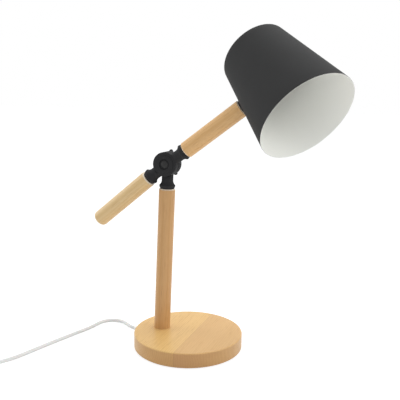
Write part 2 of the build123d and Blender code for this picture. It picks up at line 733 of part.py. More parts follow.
def rounded_route(name, points, diameter):
    """A route of runs and arcs: each arc takes 0.45 of the shorter run beside it."""
    radii = []
    for before, at, after in zip(points, points[1:], points[2:]):
        first = Vector(at) - Vector(before)
        second = Vector(after) - Vector(at)
        turned = math.radians(first.get_angle(second))
        radii.append(0.45 * min(first.length, second.length) / math.tan(turned / 2))
    with BuildLine() as route:
        FilletPolyline(*points, radius=radii)
    print(f"{name}: radii", [round(r / diameter, 1) for r in radii], "diameters")
    return route.wire()


# Wires inside the lamp: the cord's two cores, bare of their jacket, in each moving body
tail_end = 10.5
turn_r = boss_d / 4 + pocket_d / 4


def on_hinge(radius, degrees, depth):
    """A point round the hinge's axis, by its radius, its bearing and its way toward the viewer."""
    return hinge_frame.from_local_coords(
        (radius * math.cos(math.radians(degrees)), radius * math.sin(math.radians(degrees)), depth))


post_bearing = -90 - post_lean
post_route = rounded_route("post_wire", [
    gland_frame.from_local_coords((0, 0, tail_end)),
    gland_frame.from_local_coords((0, 0, 0)),
    post_frame.from_local_coords((0, 0, pivot_up - shoulder_at - spigot_len)),
    on_hinge(turn_r + 1.6, post_bearing, rear_wire_depth),
    on_hinge(turn_r + 0.6, post_bearing + 30, rear_wire_depth),
    on_hinge(turn_r + 0.4, post_bearing + 58, rear_wire_depth)], inner_wire_d)
post_wire = tube_along(post_route, inner_wire_d)
report_tube("post_wire", post_wire, post_route, inner_wire_d)
save(post_wire, "post_wire")

arm_route = rounded_route("arm_wire", [
    arm_frame.from_local_coords((0, 0, swivel_tube_end - 2)),
    arm_frame.from_local_coords((0, 0, shoulder_at + spigot_len)),
    on_hinge(turn_r + 1.6, arm_lift, front_wire_depth),
    on_hinge(turn_r + 0.6, arm_lift - 30, front_wire_depth),
    on_hinge(turn_r + 0.4, arm_lift - 58, front_wire_depth)], inner_wire_d)
arm_wire = tube_along(arm_route, inner_wire_d)
report_tube("arm_wire", arm_wire, arm_route, inner_wire_d)
save(arm_wire, "arm_wire")

# Lead inside the shade: from the swivel tube over the bridge and down into the holder
swivel_exit = shade_frame.to_local_coords(arm_origin + arm_frame.z_dir * (swivel_tube_end - 1.5))
exit_slope = (swivel_exit.X - lead_hole_x) * strap_slope
over = shade_len - shade_wall - lead_wire_d / 2 - 2.3
lead_route = rounded_route("holder_lead", [shade_frame.from_local_coords(point) for point in (
    (swivel_exit.X, 0, swivel_exit.Z),
    (lead_hole_x + 0.5, 0, swivel_exit.Z - exit_slope),
    (lead_hole_x - 0.6, 0, bridge_at - 6 * bracket_t),
    (lead_hole_x, 0, over - 0.4),
    (0, 0, over),
    (0, 0, bridge_at - 6))], lead_wire_d)
holder_lead = tube_along(lead_route, lead_wire_d)
report_tube("holder_lead", holder_lead, lead_route, lead_wire_d)
save(holder_lead, "holder_lead")

# Gland: white grommet pushed into the rim, tapered toward the cord
with BuildPart() as cord_gland:
    with BuildSketch(side(gland_frame)):
        with BuildLine():
            Polyline((0, inner_face - gland_barb_t), (gland_hole_d / 2 - 0.3, inner_face - gland_barb_t),
                     (gland_barb_d / 2, inner_face - seat_gap),
                     (gland_hole_d / 2 - 0.1, inner_face - seat_gap),
                     (gland_hole_d / 2 - 0.1, gland_seat), (gland_flange_d / 2, gland_seat),
                     (gland_flange_d / 2, gland_seat + gland_flange_t),
                     (gland_root_d / 2, gland_seat + gland_flange_t),
                     (gland_tip_d / 2, gland_out), (0, gland_out), (0, inner_face - gland_barb_t))
        make_face()
    revolve(axis=axis_of(gland_frame))
    drum(gland_frame, inner_face - gland_barb_t, gland_out, cord_d + 2 * seat_gap, Mode.SUBTRACT)
save(cord_gland, "cord_gland")

# The jacketed end of the cord inside the base, held by a plate with two screws
with BuildPart() as cord_tail:
    drum(gland_frame, tail_end, gland_out, cord_d)
save(cord_tail, "cord_tail")

clamp_low = gland_z - cord_d / 2 - seat_gap - clamp_t
clamp_plane = Plane(origin=(gland_x, 0, clamp_low), x_dir=heading(gland_heading))
clamp_screw_spots = [clamp_plane.from_local_coords((clamp_at, s * clamp_screw_gap / 2, 0)) for s in (-1, 1)]
with BuildPart() as cord_clamp:
    with BuildSketch(clamp_plane):
        with Locations((clamp_at, 0)):
            RectangleRounded(clamp_w, clamp_len, 1.5)
            with GridLocations(1, clamp_screw_gap, 1, 2):
                Circle(1.35, mode=Mode.SUBTRACT)
    extrude(amount=clamp_t)
    for spot in clamp_screw_spots:
        with Locations(spot):
            Cone(2.6, 1.35, 1.25, align=up, mode=Mode.SUBTRACT)
save(cord_clamp, "cord_clamp")

with BuildPart() as clamp_screws:
    for spot in clamp_screw_spots:
        screw(Plane(origin=spot), 0, 5.0, 2.5, 9.0)
save(clamp_screws, "clamp_screws")

# The free cord: from the gland, round a loose bend behind the base and out along the table
floor_z = cord_d / 2
switch_z = 7.5
lead_end = Vector(-209.0, -173.0, switch_z)
lead_points = [
    gland_frame.from_local_coords((0, 0, gland_out)),
    gland_frame.from_local_coords((0, 0, gland_out + 7.5)),
    (-108.9, 24.9, 4.6),
    (-122.2, 35.9, 3.0),
    (-139.3, 35.9, floor_z),
    (-151.6, 24.0, floor_z),
    (-154.0, -0.8, floor_z),
    (-166.1, -36.7, floor_z),
    (-181.6, -88.0, floor_z),
    (-193.4, -131.0, floor_z),
    lead_end - heading(switch_heading) * 17,
    lead_end + heading(switch_heading) * cord_grip]
lead_wire = rounded_route("cord_lead", lead_points, cord_d)
cord_lead = tube_along(lead_wire, cord_d)
report_tube("cord_lead", cord_lead, lead_wire, cord_d)
save(cord_lead, "cord_lead")

# Switch on the cord: two screwed shells with a rocker between them
switch_frame = Plane(origin=(lead_end.X, lead_end.Y, 0), x_dir=heading(switch_heading))
switch_mid = switch_len / 2
rocker_axis_z = switch_low_t + switch_top_t - 2.5
rocker_lean = math.radians(rocker_tilt)
rocker_x = switch_frame.x_dir * math.cos(rocker_lean) - Vector(0, 0, math.sin(rocker_lean))
rocker_frame = Plane(origin=switch_frame.from_local_coords((switch_mid, 0, rocker_axis_z)), x_dir=rocker_x,
                     z_dir=-switch_frame.y_dir)
screw_along = 19.0


def switch_block(low, high, inset, mode=Mode.ADD):
    """The switch's rounded block between two heights, drawn in by a wall thickness."""
    with BuildSketch(switch_frame.offset(low)) as outline:
        with Locations((switch_mid, 0)):
            RectangleRounded(switch_len - 2 * inset, switch_w - 2 * inset, switch_round + 2 - inset)
    return extrude(outline.sketch, amount=high - low, mode=mode)


def switch_cord_hole():
    hole_start = switch_frame.origin + Vector(0, 0, switch_z)
    with Locations(Plane(origin=hole_start, z_dir=switch_frame.x_dir).location):
        Cylinder(cord_d / 2 + seat_gap, switch_len, align=up, mode=Mode.SUBTRACT)


with BuildPart() as switch_base:
    switch_block(0, switch_low_t, 0)
    fillet(faces().sort_by(Axis.Z)[0].edges(), 1.5)
    switch_block(switch_wall, switch_low_t, switch_wall, Mode.SUBTRACT)
    switch_cord_hole()
    with Locations(switch_frame.offset(switch_wall).location):
        with Locations((switch_mid - screw_along, 6.5, 0), (switch_mid + screw_along, -6.5, 0)):
            Cylinder(2.6, switch_low_t - switch_wall, align=up)
    with Locations(switch_frame.location):
        with Locations((switch_mid - screw_along, 6.5, 0), (switch_mid + screw_along, -6.5, 0)):
            Cylinder(1.4, switch_low_t, align=up, mode=Mode.SUBTRACT)
            Cylinder(2.3, 2.0, align=up, mode=Mode.SUBTRACT)
save(switch_base, "switch_base")

with BuildPart() as switch_cover:
    switch_block(switch_low_t, switch_low_t + switch_top_t, 0)
    fillet(faces().sort_by(Axis.Z)[-1].edges(), 2.2)
    switch_block(switch_low_t, switch_low_t + switch_top_t - switch_wall, switch_wall, Mode.SUBTRACT)
    switch_cord_hole()
    with BuildSketch(switch_frame.offset(switch_low_t)):
        with Locations((switch_mid, 0)):
            RectangleRounded(rocker_len + 2 * rocker_gap, rocker_w + 2 * rocker_gap, 1.2)
    extrude(amount=switch_top_t + 1, mode=Mode.SUBTRACT)
    # the two ribs that carry the rocker's pins
    with BuildSketch(switch_frame.offset(rocker_axis_z - 2.2)):
        with Locations((switch_mid, 0)):
            with GridLocations(1, rocker_w + 2 * rocker_gap + rocker_rib_t, 1, 2):
                Rectangle(5.0, rocker_rib_t)
    extrude(amount=4.0)
    with Locations(rocker_frame.location):
        Cylinder(rocker_pin_d / 2 + running_gap, switch_w / 2 + 2, mode=Mode.SUBTRACT)
    with Locations(switch_frame.offset(switch_low_t).location):
        with Locations((switch_mid - screw_along, 6.5, 0), (switch_mid + screw_along, -6.5, 0)):
            Cylinder(2.6, switch_top_t - switch_wall / 2, align=up)
            Cylinder(1.4, 5.0, align=up, mode=Mode.SUBTRACT)
save(switch_cover, "switch_cover")

with BuildPart() as switch_screws:
    with Locations(switch_frame.offset(0.3).location):
        with Locations((switch_mid - screw_along, 6.5, 0), (switch_mid + screw_along, -6.5, 0)):
            Cylinder(2.2, 1.6, align=up)
            Cylinder(1.3, 11.0, align=up)
            Box(3.2, 0.7, 0.6, align=up, mode=Mode.SUBTRACT)
save(switch_screws, "switch_screws")

half_rocker = rocker_len / 2
with BuildPart() as switch_rocker:
    with BuildSketch(rocker_frame):
        with BuildLine():
            Polyline((-half_rocker, 2.5), (0.6 - half_rocker, -2.4), (half_rocker - 0.6, -2.4),
                     (half_rocker, 2.5))
            ThreePointArc((half_rocker, 2.5), (0, 1.5), (-half_rocker, 2.5))
        make_face()
    extrude(amount=rocker_w / 2, both=True)
    with Locations(rocker_frame.location):
        Cylinder(rocker_pin_d / 2, rocker_w + 2 * rocker_gap + 2 * rocker_rib_t - 0.2)
save(switch_rocker, "switch_rocker")

# Coil: the rest of the cord, wound in and out again in two layers
switch_exit = switch_frame.from_local_coords((switch_len, 0, switch_z))
switch_dir = heading(switch_heading)
coil_z = cord_d / 2 + coil_lift
coil_start_bearing = switch_heading + 90
coil_start = switch_exit + switch_dir * (cord_d + coil_lead_run)
coil_centre = Vector(coil_start.X, coil_start.Y, coil_z) - heading(coil_start_bearing) * coil_outer_r
half_turns = coil_turns / 2


def coil_point(turns):
    """Place and direction of the cord after so many turns, in clockwise, climbing where it reverses."""
    way = half_turns - abs(turns - half_turns)
    radius = coil_outer_r - coil_pitch * way
    bearing = coil_start_bearing - 360 * turns
    climb = min(max((turns - half_turns + 0.25) / 0.5, 0), 1)
    smooth = climb * climb * (3 - 2 * climb)
    place = coil_centre + heading(bearing) * radius + Vector(0, 0, coil_pitch * smooth)
    inward = coil_pitch / (2 * math.pi * radius)
    if abs(turns - half_turns) < 0.01 or turns < 0.01 or turns > coil_turns - 0.01:
        inward = 0
    if turns > half_turns:
        inward = -inward
    rise = 6 * climb * (1 - climb) * coil_pitch / 0.5 / (2 * math.pi * radius)
    direction = heading(bearing - 90) - heading(bearing) * inward + Vector(0, 0, rise)
    return place, direction.normalized()


def biarc(start, start_way, end, end_way):
    """Two tangent arcs between two places with given directions."""
    chord = end - start
    ways = start_way + end_way
    spread = 2 * (1 - start_way.dot(end_way))
    along = chord.dot(ways)
    if spread < 1e-9:
        reach = chord.length ** 2 / (2 * along)
    else:
        reach = (math.sqrt(along ** 2 + spread * chord.length ** 2) - along) / spread
    join = (start + end + (start_way - end_way) * reach) * 0.5
    join_way = ((end - end_way * reach) - (start + start_way * reach)).normalized()
    TangentArc(start, join, tangent=start_way)
    TangentArc(join, end, tangent=join_way)


quarters = round(coil_turns * 4)
stations = [coil_point(i / 4) for i in range(quarters + 1)]
tail_place, tail_way = stations[-1]
plug_z = plug_body_t / 2
plug_way = heading(plug_heading)
plug_start = tail_place + (tail_way + plug_way) * coil_tail_run
plug_start = Vector(plug_start.X, plug_start.Y, plug_z)
with BuildLine() as coil_line:
    Line(switch_exit - switch_dir * cord_grip, switch_exit + switch_dir * cord_d)
    biarc(switch_exit + switch_dir * cord_d, switch_dir, *stations[0])
    for (here, way), (there, there_way) in zip(stations, stations[1:]):
        biarc(here, way, there, there_way)
    biarc(tail_place, tail_way, plug_start, plug_way)
    Line(plug_start, plug_start + plug_way * cord_d)
coil_wire = coil_line.wire()
cord_coil = tube_along(coil_wire, cord_d)
report_tube("cord_coil", cord_coil, coil_wire, cord_d)
save(cord_coil, "cord_coil")


def least_gap(path, step):
    """The least clear space between stretches of the tube that are more than half a turn apart."""
    count = int(path.length / step)
    samples = [path.position_at(i / count) for i in range(count + 1)]
    apart = int(60 / step)
    closest = min((samples[i] - samples[j]).length
                  for i in range(count + 1) for j in range(i + apart, count + 1))
    return closest - cord_d


coil_gap = least_gap(coil_wire, 2.0)
print(f"cord_coil: least gap {coil_gap:.2f}, wanted over {coil_gap_least}")
cord_total = gland_out - gland_seat + lead_wire.length + switch_len - 2 * cord_grip + coil_wire.length
print(f"cord: {cord_total:.0f} from the base's rim to the plug")

# Tie: a band round all the turns at one place
tie_plane = Plane(origin=(coil_centre.X, coil_centre.Y, 0), x_dir=heading(tie_bearing),
                  z_dir=-heading(tie_bearing + 90))
tie_near = coil_outer_r - coil_pitch * half_turns - cord_d / 2 - 0.8
tie_far = coil_outer_r + cord_d / 2 + 0.6
tie_high = coil_z + coil_pitch + cord_d / 2 + 0.2
with BuildPart() as cord_tie:
    with BuildSketch(tie_plane):
        with Locations(((tie_near + tie_far) / 2, (tie_high + tie_t) / 2)):
            RectangleRounded(tie_far - tie_near + 2 * tie_t, tie_high + tie_t, 3.0)
        with Locations(((tie_near + tie_far) / 2, (tie_high + tie_t) / 2)):
            RectangleRounded(tie_far - tie_near, tie_high - tie_t, 3.0 - tie_t, mode=Mode.SUBTRACT)
    extrude(amount=tie_w / 2, both=True)
save(cord_tie, "cord_tie")

# Plug: flat two-pin plug with a tapered strain relief
plug_frame = Plane(origin=plug_start + plug_way * cord_d, x_dir=plug_way.cross(Vector(0, 0, 1)),
                   z_dir=plug_way)
plug_face = plug_relief_len + plug_body_len
with BuildPart() as plug_body:
    with BuildSketch(side(plug_frame)):
        with BuildLine():
            Polyline((0, 0), (cord_d / 2 + 1.0, 0), (plug_relief_d / 2, plug_relief_len + 1),
                     (0, plug_relief_len + 1), (0, 0))
        make_face()
    revolve(axis=axis_of(plug_frame))
    with BuildSketch(plug_frame.offset(plug_relief_len)):
        RectangleRounded(plug_body_w * 0.55, plug_body_t * 0.92, plug_body_t * 0.4)
    with BuildSketch(plug_frame.offset(plug_relief_len + 12)):
        RectangleRounded(plug_body_w, plug_body_t, plug_body_t * 0.45)
    loft()
    with BuildSketch(plug_frame.offset(plug_relief_len + 12)):
        RectangleRounded(plug_body_w, plug_body_t, plug_body_t * 0.45)
    extrude(amount=plug_body_len - 12)
    with BuildSketch(plug_frame.offset(plug_face)):
        with GridLocations(pin_gap, 1, 2, 1):
            Circle(pin_core_d / 2 + seat_gap)
    extrude(amount=-pin_sunk, mode=Mode.SUBTRACT)
save(plug_body, "plug_body")

# Each pin is thinner where it is moulded in and where its plastic sleeve covers it
pin_frames = [Plane(origin=plug_frame.from_local_coords((side_way * pin_gap / 2, 0, plug_face)),
                    z_dir=plug_way)
              for side_way in (-1, 1)]
with BuildPart() as plug_pins:
    for frame in pin_frames:
        drum(frame, pin_sleeve_len, pin_len, pin_d)
    fillet(faces().sort_by(axis_of(plug_frame))[-2:].edges(), 1.0)
    for frame in pin_frames:
        drum(frame, -pin_sunk, pin_sleeve_len, pin_core_d)
save(plug_pins, "plug_pins")

with BuildPart() as pin_sleeves:
    for frame in pin_frames:
        drum(frame, 0, pin_sleeve_len - seat_gap, pin_sleeve_d)
        drum(frame, 0, pin_sleeve_len, pin_core_d + 2 * seat_gap, Mode.SUBTRACT)
save(pin_sleeves, "pin_sleeves")
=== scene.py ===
import math

import bmesh
import bpy
from mathutils import Matrix, Vector


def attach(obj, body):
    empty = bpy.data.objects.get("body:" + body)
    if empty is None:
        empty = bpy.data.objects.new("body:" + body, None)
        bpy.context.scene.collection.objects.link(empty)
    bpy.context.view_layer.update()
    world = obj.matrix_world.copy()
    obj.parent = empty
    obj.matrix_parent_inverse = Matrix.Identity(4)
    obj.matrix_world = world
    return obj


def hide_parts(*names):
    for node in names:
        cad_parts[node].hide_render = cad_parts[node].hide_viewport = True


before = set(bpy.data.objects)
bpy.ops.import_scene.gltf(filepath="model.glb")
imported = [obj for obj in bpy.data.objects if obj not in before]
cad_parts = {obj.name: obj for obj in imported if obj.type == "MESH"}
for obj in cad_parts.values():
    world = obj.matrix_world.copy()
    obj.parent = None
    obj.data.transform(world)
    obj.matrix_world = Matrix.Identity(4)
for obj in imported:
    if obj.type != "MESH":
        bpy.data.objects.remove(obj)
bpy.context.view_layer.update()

# Camera: a slightly long lens a little above the lamp's middle and to the right of its front, as in a
# catalogue picture. Its place and turn are the ones that lay the solids' outline on the photograph's.
camera_right = Vector((0.93647, 0.35049, 0.01371))
camera_up = Vector((-0.07421, 0.15977, 0.98436))
camera_back = Vector((0.34281, -0.92284, 0.17562))
camera_data = bpy.data.cameras.new("camera")
camera_data.sensor_width = 36.0
camera_data.lens = 52.72
camera = bpy.data.objects.new("camera", camera_data)
camera.matrix_world = Matrix.Translation((0.28318, -0.72172, 0.34518)) @ Matrix(
    (camera_right, camera_up, camera_back)).transposed().to_4x4()
bpy.context.collection.objects.link(camera)
bpy.context.scene.camera = camera

# Cord: white PVC mains lead, 5 mm across, in one length from the base's rim through the switch
# to the plug. It lies loose on the table, and what nobody needs is wound in and out into a coil.
MM = 0.001
cord_d = 5.0


def heading(degrees):
    """The level direction with this heading, counted from +X toward +Y."""
    angle = math.radians(degrees)
    return Vector((math.cos(angle), math.sin(angle), 0))


def linear(colour):
    """An sRGB hex colour as linear RGBA."""
    shares = [int(colour[i:i + 2], 16) / 255 for i in (1, 3, 5)]
    return [s / 12.92 if s <= 0.04045 else ((s + 0.055) / 1.055) ** 2.4 for s in shares] + [1.0]


def add(tree, kind, inputs=(), **settings):
    """Adds a node with its settings; each input is a value or another node's socket."""
    node = tree.nodes.new(kind)
    for key, value in settings.items():
        setattr(node, key, value)
    for key, value in dict(inputs).items():
        if isinstance(value, bpy.types.NodeSocket):
            tree.links.new(value, node.inputs[key])
        else:
            node.inputs[key].default_value = value
    return node


def surface(name, constants):
    """A new material, its node tree and its one shader, with the constant sockets set."""
    made = bpy.data.materials.new(name)
    made.use_nodes = True
    shader = made.node_tree.nodes["Principled BSDF"]
    for socket, value in constants.items():
        shader.inputs[socket].default_value = value
    return made, made.node_tree, shader


def moulded(name, colour, other, roughness, grain_mm, depth_mm, constants):
    """Moulded plastic: a fine spark-eroded grain, and a tone that drifts a little over the piece."""
    made, tree, shader = surface(name, constants)
    place = add(tree, "ShaderNodeTexCoord").outputs["Object"]
    grain = add(tree, "ShaderNodeTexNoise", {"Vector": place, "Scale": 1000 / grain_mm, "Detail": 3.0})
    drift = add(tree, "ShaderNodeTexNoise", {"Vector": place, "Scale": 45.0, "Detail": 2.0})
    tone = add(tree, "ShaderNodeMix", {"Factor": drift.outputs["Fac"], "A": linear(colour),
                                       "B": linear(other)}, data_type="RGBA")
    rough = add(tree, "ShaderNodeMapRange", {"Value": grain.outputs["Fac"], "To Min": roughness - 0.05,
                                             "To Max": roughness + 0.05})
    bump = add(tree, "ShaderNodeBump", {"Height": grain.outputs["Fac"], "Strength": 0.5,
                                        "Distance": depth_mm * MM})
    tree.links.new(tone.outputs["Result"], shader.inputs["Base Color"])
    tree.links.new(rough.outputs["Result"], shader.inputs["Roughness"])
    tree.links.new(bump.outputs["Normal"], shader.inputs["Normal"])
    return made


# Soft PVC, extruded or moulded: a clean white with a low satin gloss that takes light a little way in
soft_pvc = moulded("white_soft_pvc", "#DFDFDD", "#D9D9D6", 0.42, 1.2, 0.03,
                   {"Subsurface Weight": 0.1, "Subsurface Scale": 0.002})

under_post = Vector((-40.21, 0, 6.5))
gland_way = heading(167)
gland_reach = 49.5
gland_tip = under_post + gland_way * gland_reach
switch_way = heading(232)
switch_len = 56.0
switch_hold = 4.0
lead_end = Vector((-209.0, -173.0, 7.5))
switch_exit = lead_end + switch_way * switch_len
cord_points = [
    gland_tip,
    gland_tip + gland_way * 7.5,
    Vector((-108.9, 24.9, 4.6)),
    Vector((-122.2, 35.9, 3.0)),
    Vector((-139.3, 35.9, 2.5)),
    Vector((-151.6, 24.0, 2.5)),
    Vector((-154.0, -0.8, 2.5)),
    Vector((-166.1, -36.7, 2.5)),
    Vector((-181.6, -88.0, 2.5)),
    Vector((-193.4, -131.0, 2.5)),
    lead_end - switch_way * 17,
    lead_end + switch_way * switch_hold,
    switch_exit - switch_way * switch_hold,
    switch_exit + switch_way * cord_d]

# in to the middle of the turns on the lower layer, and out again on the upper one
coil_turns = 7.5
coil_outer_r = 39.5
coil_pitch = 5.6
coil_low = 3.4
coil_bearing = 322
coil_gap = 24.0
turn_points = 16
coil_start = switch_exit + switch_way * (cord_d + coil_gap)
coil_centre = Vector((coil_start.x, coil_start.y, coil_low)) - heading(coil_bearing) * coil_outer_r
for i in range(round(coil_turns * turn_points) + 1):
    turned = i / turn_points
    inward = coil_turns / 2 - abs(turned - coil_turns / 2)
    climb = min(max((turned - coil_turns / 2 + 0.25) / 0.5, 0), 1)
    height = coil_pitch * climb * climb * (3 - 2 * climb)
    spoke = heading(coil_bearing - 360 * turned) * (coil_outer_r - coil_pitch * inward)
    cord_points.append(coil_centre + spoke + Vector((0, 0, height)))
coil_end_way = heading(coil_bearing - 360 * coil_turns - 90)
plug_way = heading(90)
plug_bend = 14.0
plug_middle_z = 6.85
plug_start = cord_points[-1] + (coil_end_way + plug_way) * plug_bend
plug_start.z = plug_middle_z
cord_points += [plug_start, plug_start + plug_way * cord_d]

cord_line = bpy.data.curves.new("cord", "CURVE")
cord_line.dimensions = "3D"
cord_line.bevel_depth = cord_d / 2 * MM
cord_line.bevel_resolution = 5
cord_line.use_fill_caps = True
spline = cord_line.splines.new("NURBS")
spline.points.add(len(cord_points) - 1)
for point, place in zip(spline.points, cord_points):
    point.co = (*(place * MM), 1.0)
spline.order_u = 3
spline.use_endpoint_u = True
spline.resolution_u = 8
cord_line.materials.append(soft_pvc)
cord = bpy.data.objects.new("cord", cord_line)
bpy.context.collection.objects.link(cord)
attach(cord, "stand")
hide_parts("cord_lead", "cord_coil")

# Base: two boards of rubberwood glued edge to edge, turned to a disc and eased at the rim,
# then sealed with a thin satin lacquer. The glue line runs beside the middle, along the grain.


def wood_grain(tree, place, pale, deep, pore, ring_share):
    """Rubberwood's colour and height, grain along Z: rings, fibres, short pores and a cloudy tone."""
    along = add(tree, "ShaderNodeMapping", {"Vector": place, "Scale": (1, 1, 0.035)})
    ring_place = add(tree, "ShaderNodeMapping", {"Vector": place, "Location": (0.052, 0.021, 0),
                                                 "Scale": (1, 1, 0.1)})
    # growth rings about 3 mm apart, curved because the log's heart is 55 mm away
    rings = add(tree, "ShaderNodeTexWave",
                {"Vector": ring_place.outputs[0], "Scale": 105.0, "Distortion": 3.5, "Detail": 2.0,
                 "Detail Scale": 1.1}, wave_type="RINGS", rings_direction="Z")
    # bundles of fibre 1.2 mm wide and some 35 mm long
    fibres = add(tree, "ShaderNodeTexNoise", {"Vector": along.outputs[0], "Scale": 800.0, "Detail": 4.0,
                                              "Roughness": 0.6})
    # pores are 0.2 mm wide in life, and drawn 0.7 mm wide so that they show
    pores = add(tree, "ShaderNodeTexNoise", {"Vector": along.outputs[0], "Scale": 1400.0, "Detail": 1.0})
    pore_mask = add(tree, "ShaderNodeMapRange", {"Value": pores.outputs["Fac"], "From Min": 0.6,
                                                 "From Max": 0.72})
    cloud = add(tree, "ShaderNodeTexNoise", {"Vector": ring_place.outputs[0], "Scale": 55.0,
                                             "Detail": 2.0})
    fibre_part = add(tree, "ShaderNodeMath", {0: fibres.outputs["Fac"], 1: 0.55}, operation="MULTIPLY")
    ring_part = add(tree, "ShaderNodeMath", {0: rings.outputs["Fac"], 1: ring_share,
                                             2: fibre_part.outputs[0]}, operation="MULTIPLY_ADD")
    share = add(tree, "ShaderNodeMath", {0: cloud.outputs["Fac"], 1: 0.5, 2: ring_part.outputs[0]},
                operation="MULTIPLY_ADD", use_clamp=True)
    clear = add(tree, "ShaderNodeMix", {"Factor": share.outputs[0], "A": linear(pale), "B": linear(deep)},
                data_type="RGBA")
    pore_share = add(tree, "ShaderNodeMath", {0: pore_mask.outputs[0], 1: 0.45}, operation="MULTIPLY")
    colour = add(tree, "ShaderNodeMix", {"Factor": pore_share.outputs[0], "A": clear.outputs["Result"],
                                         "B": linear(pore)}, data_type="RGBA")
    height = add(tree, "ShaderNodeMath", {0: fibres.outputs["Fac"], 1: pore_mask.outputs[0]},
                 operation="SUBTRACT")
    return colour.outputs["Result"], height.outputs[0]


def lacquered(tree, shader, colour, height):
    """Ends a wood: its colour, a satin roughness and the open grain that the lacquer doesn't fill."""
    rough = add(tree, "ShaderNodeMapRange", {"Value": height, "From Min": -0.5, "To Min": 0.52,
                                             "To Max": 0.4})
    bump = add(tree, "ShaderNodeBump", {"Height": height, "Strength": 0.35, "Distance": 0.04 * MM})
    tree.links.new(colour, shader.inputs["Base Color"])
    tree.links.new(rough.outputs[0], shader.inputs["Roughness"])
    tree.links.new(bump.outputs[0], shader.inputs["Normal"])


# Lacquered rubberwood board: pale straw, fine streaks, and a soft image of the post on its top
seam_x = 9.5
seam_half = 0.25
board_top = 21.0
base_wood, tree, shader = surface("lacquered_rubberwood_board",
                                  {"Specular IOR Level": 0.35, "Coat Weight": 0.18, "Coat Roughness": 0.22})
board_place = add(tree, "ShaderNodeTexCoord").outputs["Object"]
board_x, board_y, board_z = add(tree, "ShaderNodeSeparateXYZ", {0: board_place}).outputs
right_board = add(tree, "ShaderNodeMath", {0: board_x, 1: seam_x * MM}, operation="GREATER_THAN")
shifted = add(tree, "ShaderNodeVectorMath", {0: (0.31, 0.17, 0.043), "Scale": right_board.outputs[0]},
              operation="SCALE")
own_place = add(tree, "ShaderNodeVectorMath", {0: board_place, 1: shifted.outputs[0]}, operation="ADD")
lying = add(tree, "ShaderNodeMapping", {"Vector": own_place.outputs[0],
                                        "Rotation": (math.radians(90), 0, 0)})
colour, height = wood_grain(tree, lying.outputs[0], "#F0CA88", "#DAAF6B", "#B98A52", 0.28)
darker = add(tree, "ShaderNodeMath", {0: right_board.outputs[0], 1: 0.4}, operation="MULTIPLY")
board_tone = add(tree, "ShaderNodeMix", {"Factor": darker.outputs[0], "A": colour, "B": linear("#CC9C6A")},
                 data_type="RGBA")
seam_way = add(tree, "ShaderNodeMath", {0: board_x, 1: seam_x * MM, 2: seam_half * MM},
               operation="COMPARE")
seam_share = add(tree, "ShaderNodeMath", {0: seam_way.outputs[0], 1: 0.35}, operation="MULTIPLY")
board_colour = add(tree, "ShaderNodeMix",
                   {"Factor": seam_share.outputs[0], "A": board_tone.outputs["Result"],
                    "B": linear("#9A7145")}, data_type="RGBA")
# painted shade: the turned side is darker than the top, most of all at front and back, where it cuts the
# grain's ends
side_shade_share = add(tree, "ShaderNodeMapRange", {"Value": board_z, "From Min": (board_top - 0.5) * MM,
                                              "From Max": (board_top - 2.0) * MM})
side_shaded_colour = add(tree, "ShaderNodeMix",
                  {"Factor": side_shade_share.outputs[0], "A": board_colour.outputs["Result"],
                   "B": linear("#EBE7E6")}, data_type="RGBA", blend_type="MULTIPLY")
# more painted shade on the side, growing towards the front and the back of the disc
front_back_reach = add(tree, "ShaderNodeMath", {0: board_y, 1: board_y}, operation="MULTIPLY")
front_back_share = add(tree, "ShaderNodeMath", {0: front_back_reach.outputs[0], 1: 170.0}, operation="MULTIPLY")
front_back_shade = add(tree, "ShaderNodeMath", {0: front_back_share.outputs[0], 1: side_shade_share.outputs[0]},
               operation="MULTIPLY", use_clamp=True)
side_shaded_board = add(tree, "ShaderNodeMix", {"Factor": front_back_shade.outputs[0], "A": side_shaded_colour.outputs["Result"],
                                     "B": linear("#F5EBEA")}, data_type="RGBA", blend_type="MULTIPLY")
lacquered(tree, shader, side_shaded_board.outputs["Result"], height)


def finish_nodes(material, *names):
    """Gives carried-over CAD nodes their material."""
    for name in names:
        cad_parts[name].data.materials.clear()
        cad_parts[name].data.materials.append(material)


finish_nodes(base_wood, "base_disc")

# Inside the base: a cut steel disc as ballast, screwed up into the wood, and the cord's clamp
# with its plate and screws. Under them lies the foot pad, a die-cut sheet of closed foam.


def metal(name, colour, other, roughness, spot_mm):
    """Metal: a tone and roughness that change a little in spots."""
    made, tree, shader = surface(name, {"Metallic": 1.0})
    place = add(tree, "ShaderNodeTexCoord").outputs["Object"]
    spots = add(tree, "ShaderNodeTexNoise", {"Vector": place, "Scale": 1000 / spot_mm, "Detail": 3.0})
    tone = add(tree, "ShaderNodeMix", {"Factor": spots.outputs["Fac"], "A": linear(colour),
                                       "B": linear(other)}, data_type="RGBA")
    rough = add(tree, "ShaderNodeMapRange", {"Value": spots.outputs["Fac"], "To Min": roughness - 0.08,
                                             "To Max": roughness + 0.08})
    bump = add(tree, "ShaderNodeBump", {"Height": spots.outputs["Fac"], "Strength": 0.2,
                                        "Distance": 0.02 * MM})
    tree.links.new(tone.outputs["Result"], shader.inputs["Base Color"])
    tree.links.new(rough.outputs["Result"], shader.inputs["Roughness"])
    tree.links.new(bump.outputs["Normal"], shader.inputs["Normal"])
    return made


# Laser-cut mild steel: dull blue-grey mill scale in patches
mild_steel = metal("cut_mild_steel", "#6C6E72", "#53555A", 0.55, 8.0)
# Zinc-plated steel: bright, cool and slightly milky
zinc_steel = metal("zinc_plated_steel", "#BFC3C8", "#A9ADB2", 0.32, 3.0)
# Closed-cell foam sheet: charcoal, quite dull, with cells about 0.6 mm wide
foam = moulded("closed_cell_foam", "#3A3A3B", "#333334", 0.9, 0.6, 0.15, {"Specular IOR Level": 0.2})
